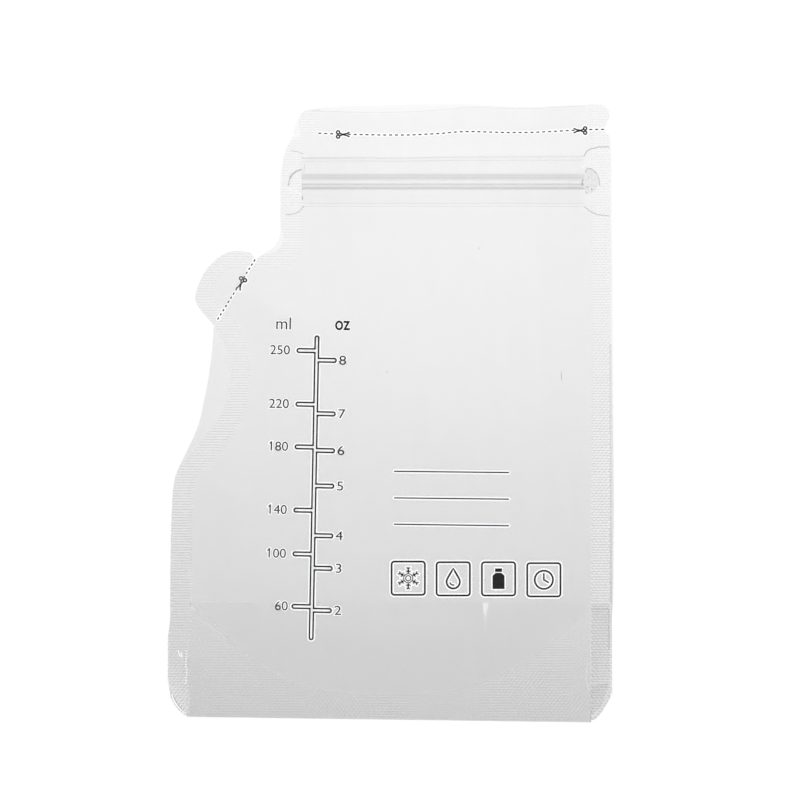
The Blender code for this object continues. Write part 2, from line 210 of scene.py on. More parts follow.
def film_material(
    name, tint, haze, mirror, roughness, grain, streak=(1, 1, 1), dot_haze=0.0, lower=None,
):
    """Clear film: light passes straight through, its faces mirror, and a little haze scatters.

    mirror is the share that it mirrors when seen square on. grain is the size of the
    haze's mottling, stretched by streak along the web. dot_haze is the haze that the
    knurl's dots add. lower is a darker tint painted lower down the bag as painted shade,
    and the heights, in millimetres, between which it takes over.
    between which it takes over."""
    made, tree = new_material(name)
    place = add(tree, "ShaderNodeTexCoord")
    spread = add(
        tree, "ShaderNodeMapping",
        {"Vector": place.outputs["Object"], "Scale": [1 / (grain * s) for s in streak]},
    )
    mottle = add(
        tree, "ShaderNodeTexNoise",
        {"Vector": spread.outputs["Vector"], "Scale": 1.0, "Detail": 3.0, "Roughness": 0.6},
    )
    share = add(
        tree, "ShaderNodeMapRange",
        {"Value": mottle.outputs["Fac"], "From Min": 0.3, "From Max": 0.7,
         "To Min": haze * 0.6, "To Max": haze * 1.4},
    ).outputs["Result"]
    if dot_haze:
        share = add(
            tree, "ShaderNodeMath",
            {0: dot_pattern(tree, place.outputs["Object"]), 1: dot_haze, 2: share},
            operation="MULTIPLY_ADD",
        ).outputs["Value"]
    ripple = add(
        tree, "ShaderNodeBump",
        {"Height": mottle.outputs["Fac"], "Strength": 0.15, "Distance": 0.02 * MM},
    )
    clear = add(tree, "ShaderNodeBsdfTransparent", {"Color": colour(tint)})
    if lower:
        painted_shade_tint, start, end = lower
        parts = add(tree, "ShaderNodeSeparateXYZ", {"Vector": place.outputs["Object"]})
        low = add(
            tree, "ShaderNodeMapRange",
            {"Value": parts.outputs["Y"], "From Min": start * MM, "From Max": end * MM},
        )
        mixed = add(
            tree, "ShaderNodeMix",
            {0: low.outputs["Result"], first_colour: colour(tint), second_colour: colour(painted_shade_tint)},
            data_type="RGBA",
        )
        tree.links.new(mixed.outputs[mixed_colour], clear.inputs["Color"])
    shine = add(
        tree, "ShaderNodeBsdfGlossy",
        {"Color": colour("#ffffff"), "Roughness": roughness, "Normal": ripple.outputs["Normal"]},
    )
    slant = add(tree, "ShaderNodeLayerWeight", {"Blend": 0.5})
    steep = add(tree, "ShaderNodeMath", {0: slant.outputs["Facing"], 1: 5.0}, operation="POWER")
    faces = add(tree, "ShaderNodeMapRange", {"Value": steep.outputs["Value"], "To Min": mirror})
    body = add(
        tree, "ShaderNodeMixShader",
        {0: faces.outputs["Result"], 1: clear.outputs["BSDF"], 2: shine.outputs["BSDF"]},
    )
    milky = add(tree, "ShaderNodeBsdfDiffuse", {"Color": colour("#f8f8f8"), "Roughness": 0.3})
    whole = add(
        tree, "ShaderNodeMixShader", {0: share, 1: body.outputs["Shader"], 2: milky.outputs["BSDF"]},
    )
    add(tree, "ShaderNodeOutputMaterial", {"Surface": whole.outputs["Shader"]})
    return made


def ink_material(name, dark, light, cover, painted_glow=0.0):
    """Flexographic ink: flat, slightly mottled where the plate left it thin.

    glow is painted light: the ink glows a little, so that white ink reads brighter than the lamps
    make it."""
    made, tree = new_material(name)
    place = add(tree, "ShaderNodeTexCoord")
    mottle = add(
        tree, "ShaderNodeTexNoise",
        {"Vector": place.outputs["Object"], "Scale": 1 / (0.4 * MM), "Detail": 2.0},
    )
    tone = add(
        tree, "ShaderNodeMix",
        {0: mottle.outputs["Fac"], first_colour: colour(dark), second_colour: colour(light)},
        data_type="RGBA",
    )
    shader = add(
        tree, "ShaderNodeBsdfPrincipled",
        {"Base Color": tone.outputs[mixed_colour], "Roughness": 0.5, "Specular IOR Level": 0.2,
         "Alpha": cover, "Emission Color": colour("#ffffff"), "Emission Strength": painted_glow},
    )
    add(tree, "ShaderNodeOutputMaterial", {"Surface": shader.outputs["BSDF"]})
    return made


# Laminated film of polyester and polyethylene, cast and calendered: clear and glossy, with
# faint streaks along the web. It mirrors a little more than the 10 % of a real film's two
# faces, so that the studio's fade shows in it as it does in the photograph.
clear_film = film_material("clear_laminate_film", "#fefefe", 0.015, 0.166, 0.04, 6 * MM, (1, 5, 1))
# The flange outside the left seal hangs free, a little slack, so it mirrors less.
flange_film = film_material("loose_flange_film", "#ffffff", 0.01, 0.135, 0.04, 6 * MM, (1, 5, 1))
# The same film where a knurled bar has melted the layers together: dotted with haze.
seal_film = film_material(
    "knurled_heat_seal", "#ffffff", 0.02, 0.166, 0.10, 1.2 * MM, dot_haze=0.06,
    # painted shade: the tint darkens towards the bottom of the bag
    lower=("#fbfbfb", -20, -60),
)
# The base's weld holds three layers, so it passes less light; its tint darkens further towards the
# bottom as painted shade.
base_seal_film = film_material(
    "three_layer_base_seal", "#fbfbfb", 0.02, 0.166, 0.10, 1.2 * MM, dot_haze=0.05,
    lower=("#f6f6f6", -66, -97),
)
# The gusset lies wet against the outer films, so its own faces hardly mirror.
leaf_film = film_material(
    # painted shade: the tint darkens towards the bottom of the bag
    "gusset_film", "#ffffff", 0.003, 0.003, 0.06, 4 * MM, lower=("#fdfdfd", -66, -97),
)
# The gusset's edges, melted into the side seals, pass a little less light.
melted_film = film_material("melted_gusset_edge", "#f6f6f6", 0.01, 0.003, 0.1, 2 * MM)
# Extruded polyethylene tape, bonded to the film, with draw lines along its length.
tape_film = film_material("extruded_zip_tape", "#ffffff", 0.003, 0.002, 0.15, 1.2 * MM, (12, 1, 1))
# Solid rails of the same polyethylene; their greyer tints are painted shade, standing for the light
# that they bend aside.
stout_plastic = film_material("stout_zip_rail", "#efefef", 0.04, 0.03, 0.2, 1.0 * MM, (12, 1, 1))
slim_plastic = film_material("slim_zip_rail", "#fdfdfd", 0.03, 0.03, 0.2, 1.0 * MM, (12, 1, 1))
rib_plastic = film_material("extruded_zip_rib", "#fcfcfc", 0.02, 0.01, 0.2, 1.0 * MM, (12, 1, 1))
crushed_film = film_material("crushed_zip_rail", "#f9f9f9", 0.05, 0.08, 0.12, 0.8 * MM)
# A cut or folded edge of film shows as a fine grey line, and a stressed one as a white line.
edge_film = film_material("cut_film_edge", "#dedede", 0.03, 0.02, 0.2, 1.0 * MM)
faint_film = film_material("embossed_film_line", "#f5f5f5", 0.02, 0.02, 0.2, 1.0 * MM)
white_film = film_material("stress_whitened_film", "#ffffff", 0.8, 0.04, 0.3, 0.6 * MM)
# Painted highlights: small glints where the melt stood up in beads, drawn as white ink that glows a
# little.
painted_glints = ink_material("painted_bead_glints", "#ffffff", "#f2f2f2", 0.95, 0.13)
# The border of a weld, where the film is only a little whitened.
pale_line_film = film_material("weld_border_film", "#ffffff", 0.30, 0.04, 0.3, 0.6 * MM)
black_ink = ink_material("black_flexo_ink", "#161616", "#2a2a2a", 1.0)
# White ink lies under the black, a little wider, so that the black reads on any film.
# It glows a little: painted light, so that it reads brighter
white_ink = ink_material("white_flexo_ink", "#ffffff", "#fafafa", 1.0, 0.12)


# Outlines

def cad_outline(node):
    """The edge of a flat CAD node as points in order, anticlockwise."""
    mesh = frame["nodes"][node].data
    low = min(v.co.z for v in mesh.vertices) + 0.001 * MM
    place = {v.index: (round(v.co.x, 6), round(v.co.y, 6)) for v in mesh.vertices if v.co.z < low}
    edges = set()
    for face in mesh.polygons:
        corners = [place.get(i) for i in face.vertices]
        if None in corners:
            continue
        for a, b in zip(corners, corners[1:] + corners[:1]):
            if (b, a) in edges:
                edges.remove((b, a))
            elif a != b:
                edges.add((a, b))
    following = dict(edges)
    path = [min(following)]
    while following[path[-1]] != path[0]:
        path.append(following[path[-1]])
    return anticlockwise([Vector(p) for p in path])


def area(path):
    """The area inside a closed path, positive where the path runs anticlockwise."""
    return sum(a.x * b.y - b.x * a.y for a, b in zip(path, path[1:] + path[:1])) / 2


def anticlockwise(path):
    return path if area(path) > 0 else path[::-1]


def grown(path, distance):
    """The closed path moved outwards by distance, with mitred corners."""
    moved = []
    for before, point, after in zip(path[-1:] + path[:-1], path, path[1:] + path[:1]):
        one, two = (point - before).normalized(), (after - point).normalized()
        one, two = Vector((one.y, -one.x)), Vector((two.y, -two.x))
        moved.append(point + (one + two) * distance / max(1 + one.dot(two), 0.5))
    return moved


def divided(path, step, closed=True):
    """The path with points no further apart than step."""
    dense = []
    for a, b in zip(path, path[1:] + (path[:1] if closed else [])):
        count = max(1, math.ceil((b - a).length / step))
        dense += [a.lerp(b, i / count) for i in range(count)]
    return dense if closed else dense + [path[-1]]


def millimetres(pairs):
    """Points given in millimetres."""
    return [Vector(p) * MM for p in pairs]


def smooth(points, steps=5):
    """A curve through the points, with steps points for each stretch."""
    ends = [2 * points[0] - points[1]] + points + [2 * points[-1] - points[-2]]
    curve = []
    for a, b, c, d in zip(ends, ends[1:], ends[2:], ends[3:]):
        for step in range(steps):
            t = step / steps
            curve.append(
                b
                + (c - a) * t / 2
                + (a - b * 2.5 + c * 2 - d / 2) * t ** 2
                + (b * 1.5 - a / 2 - c * 1.5 + d / 2) * t ** 3
            )
    return curve + [points[-1]]


def stretch(path, start, end):
    """The part of a closed path from its point nearest start to the one nearest end."""
    first = min(range(len(path)), key=lambda i: (path[i] - start).length)
    path = path[first:] + path[:first]
    last = min(range(len(path)), key=lambda i: (path[i] - end).length)
    return path[:last + 1]


def recut(path, curve):
    """A closed anticlockwise path with the part between the curve's ends replaced by it."""
    curve = smooth(millimetres(curve))
    return stretch(path, curve[-1], curve[0]) + curve


def clipped(path, x, side):
    """The part of a closed path on one side of a line along Y."""
    kept = []
    for a, b in zip(path, path[1:] + path[:1]):
        inside_a, inside_b = (a.x - x) * side >= 0, (b.x - x) * side >= 0
        if inside_a:
            kept.append(a)
        if inside_a != inside_b:
            kept.append(a.lerp(b, (x - a.x) / (b.x - a.x)))
    return kept


def rows_inside(path, pitch, margin):
    """The number, place and ends of each row along X inside a closed path."""
    edges = list(zip(path, path[1:] + path[:1]))
    first = math.ceil(min(p.y for p in path) / pitch)
    last = math.ceil(max(p.y for p in path) / pitch)
    for row in range(first, last):
        y = row * pitch
        cuts = sorted(
            a.x + (y - a.y) * (b.x - a.x) / (b.y - a.y) for a, b in edges if (a.y > y) != (b.y > y)
        )
        for left, right in zip(cuts[::2], cuts[1::2]):
            yield row, y, left + margin, right - margin


def grid_points(path, step):
    """Points of a square grid inside a closed path."""
    points = []
    for row, y, left, right in rows_inside(path, step, step * edge_clear_share):
        first, last = math.ceil(left / step), math.floor(right / step)
        points += [Vector((column * step, y)) for column in range(first, last + 1)]
    return points


def between(pairs, value):
    """The second number at value, read along a table of pairs."""
    for (a, low), (b, high) in zip(pairs, pairs[1:]):
        if value <= b:
            return low + (high - low) * (value - a) / (b - a)
    return pairs[-1][1]


def weld_arc(x):
    """Height of the gusset's curved weld at x."""
    share = abs(x) / foot_right
    return fold_y - weld_arc_depth * max(0, 1 - share ** weld_arc_power)


gusset_arc = [Vector((x * MM, weld_arc(x * MM))) for x in range(-62, 63)]


# Heights of the layers

def ease(share):
    """A smooth step from 0 to 1."""
    share = min(1.0, max(0.0, share))
    return share * share * (3 - 2 * share)


def bell(value, middle, width):
    """A smooth bump, 1 at its middle."""
    return math.exp(-((value - middle) / width) ** 2)


weld_points = []
for node in ("left_neck_seal", "left_side_seal", "right_side_seal", "back_base_seal"):
    weld_points += divided(cad_outline(node), outline_step)
weld_tree = kdtree.KDTree(len(weld_points))
for index, point in enumerate(weld_points):
    weld_tree.insert((point.x, point.y, 0), index)
weld_tree.balance()


def settled(x, y):
    """0 at a weld, 1 where the films lie free of it."""
    return ease(weld_tree.find((x, y, 0))[2] / settle_width)


# Waves that draw the upper web down: how deep, where along X, and how wide
left_wave = (0.55 * MM, 3 * MM, 9 * MM)
right_wave = (0.6 * MM, 43 * MM, 10 * MM)
cut_y, cut_reach = 88 * MM, 7 * MM      # the left wave fades away from the cut line
rise_y, rise_run = 80 * MM, 12 * MM     # the right one comes in over this run above the zip


def sway(x, y):
    """How far the waves draw a point of the web down, as a negative number."""
    left_depth, *left_place = left_wave
    right_depth, *right_place = right_wave
    left = left_depth * bell(x, *left_place) * bell(y, cut_y, cut_reach)
    right = right_depth * bell(x, *right_place) * ease((y - rise_y) / rise_run)
    return -left - right


swell_height = 0.10 * MM
swell_width, swell_length = 34 * MM, 46 * MM
front_seed, back_seed = 0.0, 7.0


def swell(x, y, seed):
    """Slow unevenness of a film that was folded and packed."""
    place = Vector((x / swell_width, y / swell_length, seed))
    return noise.noise(place) * swell_height


def creases(x, y):
    """Upright folds of the lower front: a sharp one that catches the light, and soft ones.

    Each starts this far below the fold line, rises to its height over its onset, and
    fades over its reach; its two flanks have their own widths."""
    height = 0.0
    for place, left, right, rise, start, onset, reach in (
        (28.7, 5.0, 1.4, 0.17, -0.02, 0.02, 22), (28.7, 5.0, 2.5, 0.28, -0.02, 0.02, 3.8),
        (29.0, 11, 3.4, 0.10, 1.2, 9, 30), (-40.2, 12, 4.0, 0.12, 1.2, 9, 30),
    ):
        below = (fold_y - y) / MM - start
        width = left if x < place * MM else right
        fade = ease(below / onset) * math.exp(-max(0, below) / reach)
        height += rise * fade * bell(x, place * MM, width * MM)
    return height * MM


back_rise = 0.05 * MM
rise_at_weld_share, leaf_at_weld_share = 0.3, 0.4


def above(share, free):
    """The share that a height keeps at a weld, rising to 1 where the film is free."""
    return share + (1 - share) * free


def front_level(x, y):
    """The front web: low at the welds, higher over the zip, and creased at the foot."""
    free = settled(x, y)
    over_zip = ease((tape_half + tape_ramp - abs(y - zip_y)) / tape_ramp)
    height = weld_height + (front_height - weld_height + swell(x, y, front_seed)) * free
    rise = mouth_rise * over_zip * above(rise_at_weld_share, free)
    return height + rise + creases(x, y) * free


def foot_level(x, y):
    """The front web below the fold line, where its folds reach right up to the line."""
    return front_level(x, min(y, fold_y))


def back_level(x, y):
    """The back web, which rises a little off the table away from the welds."""
    return back_height + back_rise * settled(x, y) * (1 + swell(x, y, back_seed) / swell_height)


def leaf_level(height):
    """The level of a gusset's leaf, which comes down towards the welds from this height."""
    def level(x, y):
        return back_height + (height - back_height) * above(leaf_at_weld_share, settled(x, y))

    return level


def flat_at(height):
    """The same level everywhere."""
    return lambda x, y: height


# Pieces

def put_mesh(name, points, faces, material, smooth_faces=True):
    mesh = bpy.data.meshes.new(name)
    mesh.from_pydata(points, [], faces)
    mesh.materials.append(material)
    mesh.polygons.foreach_set("use_smooth", [smooth_faces] * len(mesh.polygons))
    mesh.update()
    made = bpy.data.objects.new(name, mesh)
    bpy.context.scene.collection.objects.link(made)
    return made


def triangles(path, points):
    """A closed path filled with triangles through the points inside it."""
    outline, inside_only, same_place = list(range(len(path))), 1, 1e-8
    flat, _, faces, *_ = geometry.delaunay_2d_cdt(
        path + points, [], [outline], inside_only, same_place,
    )
    return flat, [f if area([flat[i] for i in f]) > 0 else f[::-1] for f in faces]


def fasten(made, body, node=None):
    """Puts a piece on its body, and in the place of a CAD node if it stands for one."""
    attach(made, body)
    if node:
        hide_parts(node)


def loose_sheet(name, path, level, material, step):
    """A single sheet of film inside a closed path, with its height given by level."""
    edge = divided(anticlockwise(path), step)
    flat, faces = triangles(edge, grid_points(edge, step))
    places = [(p.x, p.y + sway(p.x, p.y), level(p.x, p.y)) for p in flat]
    return put_mesh(name, places, faces, material)


def sheet(name, path, level, material, body, node=None, step=sheet_step):
    """A single sheet of film on one body."""
    fasten(loose_sheet(name, path, level, material, step), body, node)


def node_path(node):
    """A CAD node's outline, grown to close the gap to its neighbours."""
    return grown(cad_outline(node), joint_gap / 2)


def film(name, node, level, body):
    """Clear film in the place of a CAD node, on one body."""
    sheet(name, node_path(node), level, clear_film, body, node)


def halves(name, ends, nodes, make):
    """Two halves of a piece, split at the middle between its ends.

    make(name, side, middle) gives the half on one side of the middle."""
    left, right = ends
    middle = (left + right) / 2
    for side, word, start in ((-1, "left", left), (1, "right", right)):
        piece = make(f"{name}_{word}", side, middle)
        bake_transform(piece)
        if nodes:
            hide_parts(*nodes)


def bending_film(
    name, path, level, material, ends, nodes, step=sheet_step,
):
    """A sheet of film in two halves."""
    def make(half_name, side, middle):
        return loose_sheet(half_name, clipped(path, middle, side), level, material, step)

    halves(name, ends, nodes, make)


def knurled(name, path, base, material, thickness=0.0, turn=0.0, relief=1.0):
    """A weld with the bar's rows of dots pressed into it: one face, or both and the edge."""
    cos, sin = math.cos(turn), math.sin(turn)
    edge = divided(anticlockwise(path), knurl_dot)
    turned = [Vector((p.x * cos + p.y * sin, p.y * cos - p.x * sin)) for p in edge]
    points, heights = [], {}
    pitch = knurl_dot / 2
    for row, y, left, right in rows_inside(turned, knurl_row / 2, pitch * knurl_clear_share):
        shift = pitch / 2 if row % 2 else 0.0
        first, last = math.ceil((left - shift) / pitch), math.floor((right - shift) / pitch)
        for column in range(first, last + 1):
            x = column * pitch + shift
            point = Vector((x * cos - y * sin, x * sin + y * cos))
            height = row_relief if row % 2 else -row_relief
            height += dot_relief if (column + row // 2) % 2 else -dot_relief
            heights[len(edge) + len(points)] = height * relief * between(knurl_press, point.y / MM)
            points.append(point)
    flat, faces = triangles(edge, points)
    places = [
        (p.x, p.y + sway(p.x, p.y), base + heights.get(i, 0.0)) for i, p in enumerate(flat)
    ]
    if thickness:
        count = len(places)
        places += [(x, y, z - thickness) for x, y, z in places]
        sides = {(a, b) for f in faces for a, b in zip(f, f[1:] + f[:1])}
        rim = [(b, a, a + count, b + count) for a, b in sides if (b, a) not in sides]
        faces = faces + [tuple(i + count for i in f[::-1]) for f in faces] + sorted(rim)
    return put_mesh(name, places, faces, material, smooth_faces=False)


def seal(name, node, body, path=None):
    """A side seal as one thin knurled body."""
    made = knurled(name, path or node_path(node), weld_height, seal_film, weld_thickness)
    fasten(made, body, node)


def make_pouch():
    """The back and front webs, and the seals beside the neck and down the straight side."""
    back = stretch(node_path("back_film"), gusset_arc[-1], gusset_arc[0]) + gusset_arc
    sheet("back_web", back, back_level, clear_film, "pouch", "back_film", step=back_step)
    film("front_web", "front_film", front_level, "pouch")
    seal("left_neck_seal_knurled", "left_neck_seal", "pouch")
    right = recut(node_path("right_side_seal"), right_corner)
    seal("right_side_seal_knurled", "right_side_seal", "pouch", right)


def make_left_side():
    """The left side seal, which curves in from the edge, and the loose flange outside it."""
    whole = divided(node_path("left_side_seal"), outline_step)
    whole = recut(recut(whole, left_corner), left_waist)
    first = min(range(len(whole)), key=lambda i: (whole[i] - flange_top).length)
    whole = whole[first:] + whole[:first]
    reach = flange_top.y - flange_shares[-1][0] * flange_drop
    outer = []
    for point in whole:
        if point.y < reach:
            break
        outer.append(point)
    moved = [
        p + Vector((flange_width * between(flange_shares, (flange_top.y - p.y) / flange_drop), 0))
        for p in outer
    ]
    seal("left_side_seal_knurled", "left_side_seal", "pouch", moved + whole[len(outer):])
    flange = outer + moved[::-1]
    for word, height, material in (
        ("behind", back_height, clear_film), ("before", weld_height, flange_film),
    ):
        name = f"side_flange_{word}"
        sheet(name, flange, flat_at(height), material, "pouch", "left_side_seal")


def make_gusset_edges():
    """The gusset's two edges inside the side seals, and the base weld's end on the right."""
    low, high = -95.4, -60.2
    for word, inner, middle, outer, material in (
        ("left", -63.5, -66.5, -69.4, leaf_film), ("right", 63.45, 66.8, 69.4, melted_film),
    ):
        path = millimetres([
            (inner, high), (inner, low), (middle, -92.5), (outer, -84), (outer, high),
        ])
        sheet(f"gusset_edge_{word}", path, flat_at(gusset_edge_height), material, "pouch")
    path = millimetres([
        (63.2, -97.0), (65.0, -96.1), (66.9, -93.9), (68.3, -91.4), (69.2, -89.8), (69.5, -87.5),
        (69.5, -85), (63.45, -86),
    ])
    sheet("base_edge_right", path, flat_at(base_edge_height), melted_film, "pouch")


def back_margin(name, body, outer, inner):
    """A strip of the single back film between an outer and an inner line."""
    path = smooth(millimetres(outer)) + inner
    sheet(f"back_margin_{name}", path, flat_at(back_height), clear_film, body)


def make_margins():
    """The back film stands out past the front film and the seals as a narrow single strip."""
    neck = stretch(cad_outline("left_neck_seal"), *millimetres([(-28.1, 87.7), (-39.4, 50.0)]))
    back_margin("neck", "pouch", (
        (-30.7, 87.8), (-32.9, 83.8), (-33.9, 80), (-34.6, 76.2), (-34.85, 72), (-34.8, 64),
        (-34.6, 57.5), (-35.9, 53.6), (-38.0, 51.6), (-40.0, 50.6),
    ), neck[::-1])
    back_margin("right", "pouch", (
        (69.6, 87.0), (70.05, 80), (70.1, 60), (70.3, 45), (70.45, 10), (70.6, -10), (70.75, -30),
        (70.5, -58), (70.1, -63.5),
    ), millimetres([(69.9, -63.5), (69.25, 86.6)]))
    lower = millimetres([
        (69.3, 22), (69.3, -60), (70.2, -60), (70.55, -30), (70.35, -10), (70.15, 8), (69.9, 22),
    ])
    sheet("front_margin_right", lower, flat_at(weld_height), melted_film, "pouch")
    side = stretch(cad_outline("header_left_seal"), *millimetres([(-25.0, 95.6), (-28.1, 88.0)]))
    back_margin("header_side", "header", (
        (-25.2, 96.2), (-28.0, 94.9), (-29.7, 91.8), (-30.8, 88.1),
    ), side[::-1])
    front = cad_outline("header_front_film")
    high_left = max(front, key=lambda p: p.y - p.x)
    high_right = max(front, key=lambda p: p.y + p.x)
    top = [high_left.lerp(high_right, share) for share in (-0.03, 0.3, 0.6, 0.95)]
    back_margin("header_top", "header", (
        (-24.8, 96.2), (-15.8, 97.0), (3.2, 97.5), (18.9, 97.8), (34.7, 97.4), (53.0, 96.98),
    ), top[::-1])
    border, border_line = Shapes(), 0.2 * MM
    border.stroke(smooth(unswayed(header_top)), border_line)
    fasten(border.lay("header_top_border", faint_film, line_height), "header")


def make_base():
    """The gusset's two leaves, the front film over them, and the curved weld below."""
    top = fold_y + joint_gap / 2
    left_edge = [Vector((foot_left, top)), Vector((foot_left, weld_arc(foot_left)))]
    right_edge = [Vector((foot_right, fold_y)), Vector((foot_right, top))]
    path = left_edge + gusset_arc + right_edge
    weld_ends = millimetres([(-62.6, -61.4), (63.3, -60.6)])
    weld = stretch(node_path("front_base_seal"), *weld_ends) + gusset_arc[::-1]
    level = leaf_level(back_leaf_height)
    sheet("gusset_leaf_behind", path, level, leaf_film, "pouch", "gusset_back_leaf")
    behind = knurled(
        "base_weld_behind", weld, back_height, base_seal_film, turn=turn_behind,
        relief=base_relief_share,
    )
    fasten(behind, "pouch", "back_base_seal")
    ends = (foot_left, foot_right)
    bending_film(
        "gusset_leaf_before", path, leaf_level(front_leaf_height), leaf_film,
        ends, ["gusset_front_leaf"],
    )
    bending_film(
        "foot_web", path, foot_level, clear_film, ends, ["front_foot_film"],
        step=crease_step,
    )

    def before(name, side, middle):
        half = clipped(weld, middle, side)
        return knurled(
            name, half, weld_height, base_seal_film, turn=turn_before, relief=base_relief_share,
        )

    halves("base_weld_before", ends, ["front_base_seal"], before)


def rails(sizes, x_low, x_high, z, up):
    """Points and faces of half-round rails along X, standing up or hanging down."""
    points, faces = [], []
    count = math.ceil((x_high - x_low) / rail_step)
    ring = rail_facets + 1
    for offset, radius in sizes:
        start = len(points)
        for i in range(count + 1):
            x = x_low + (x_high - x_low) * i / count
            for j in range(ring):
                angle = math.pi * j / rail_facets
                rise = radius * MM * math.sin(angle)
                points.append((x, zip_y + (offset + radius * math.cos(angle)) * MM, z + up * rise))
        for i in range(count):
            for j in range(rail_facets):
                a = start + i * ring + j
                faces.append((a, a + ring, a + ring + 1, a + 1))
    return points, faces


def make_zip():
    """The neck's front film with the front tape and its ribs, and the back tape's channels."""
    mouth = [
        Vector((mouth_left, crease_y)), Vector((mouth_right, crease_y)),
        Vector((mouth_right, mouth_top_right)), Vector((mouth_left, mouth_top_left)),
    ]
    ends = (mouth_left, mouth_right)
    bending_film("mouth_web", mouth, front_level, clear_film, ends, ["front_mouth_film"])
    low, high = zip_y - tape_half, zip_y + tape_half
    tape = [
        Vector((mouth_left, low)), Vector((tape_end, low)),
        Vector((tape_end, high)), Vector((mouth_left, high)),
    ]
    tape_level = front_height + mouth_rise - tape_sink
    bending_film(
        "zip_tape_before", tape, lambda x, y: front_level(x, y) - tape_sink, tape_film,
        ends, ["zip_male_strip"],
    )
    sheet(
        "zip_tape_behind", tape, flat_at(female_tape_height), tape_film,
        "pouch", "zip_female_strip",
    )
    for name, walls, plastic in (
        ("zip_channel_upper", slim_walls, slim_plastic),
        ("zip_channel_lower", stout_walls, stout_plastic),
    ):
        points, faces = rails(walls, mouth_left, tape_end, female_tape_height, 1)
        fasten(put_mesh(name, points, faces, plastic), "pouch")

    def ribs(name, side, middle):
        low, high = (mouth_left, middle) if side < 0 else (middle, tape_end)
        return put_mesh(name, *rails(zip_ribs, low, high, tape_level, -1), rib_plastic)

    halves("zip_ribs", ends, (), ribs)


def make_crushed_end():
    """The rails' right end, crushed flat by the sealing bar into a rough half disc."""
    centre, radius = Vector((61.5 * MM, 73.4 * MM)), 4.4 * MM
    step, lump, roughness = 0.45 * MM, 0.8 * MM, 0.13 * MM
    turns = [-math.pi / 2 + math.pi * k / 14 for k in range(15)]
    path = [centre + Vector((math.cos(a), math.sin(a))) * radius for a in turns]
    edge = divided(path, step)
    flat, faces = triangles(edge, grid_points(edge, step))
    places = []
    for p in flat:
        rough = noise.noise(Vector((p.x, p.y, MM)) / lump) * roughness
        places.append((p.x, p.y, weld_height + crushed_lift + rough))
    made = put_mesh("zip_end_crushed_right", places, faces, crushed_film, smooth_faces=False)
    fasten(made, "pouch")


def make_header():
    """The strip above the cut line: two webs, and a seal at each end."""
    film("header_web_behind", "header_back_film", back_level, "header")
    top = smooth(unswayed(header_top))
    front = stretch(node_path("header_front_film"), top[-1], top[0]) + top
    sheet("header_web_before", front, front_level, clear_film, "header", "header_front_film")
    for node in ("header_left_seal", "header_right_seal"):
        seal(f"{node}_knurled", node, "header")


def make_spout():
    """The spout's ear: two webs, and the seal round them."""
    film("spout_web_behind", "spout_back_film", back_level, "spout_ear")
    film("spout_web_before", "spout_front_film", flat_at(front_height), "spout_ear")
    seal("spout_ear_knurled", "spout_ear_seal", "spout_ear")


def make_tacks():
    """Half-moons where the outer films are welded to each other through the gusset's notches."""
    for node in ("left_corner_tack", "right_corner_tack"):
        made = knurled(
            f"{node}_weld", node_path(node), tack_height, leaf_film, relief=base_relief_share,
        )
        fasten(made, "pouch", node)


# Print and fine lines

digit_share = 0.70              # height of a digit as a share of the font's size


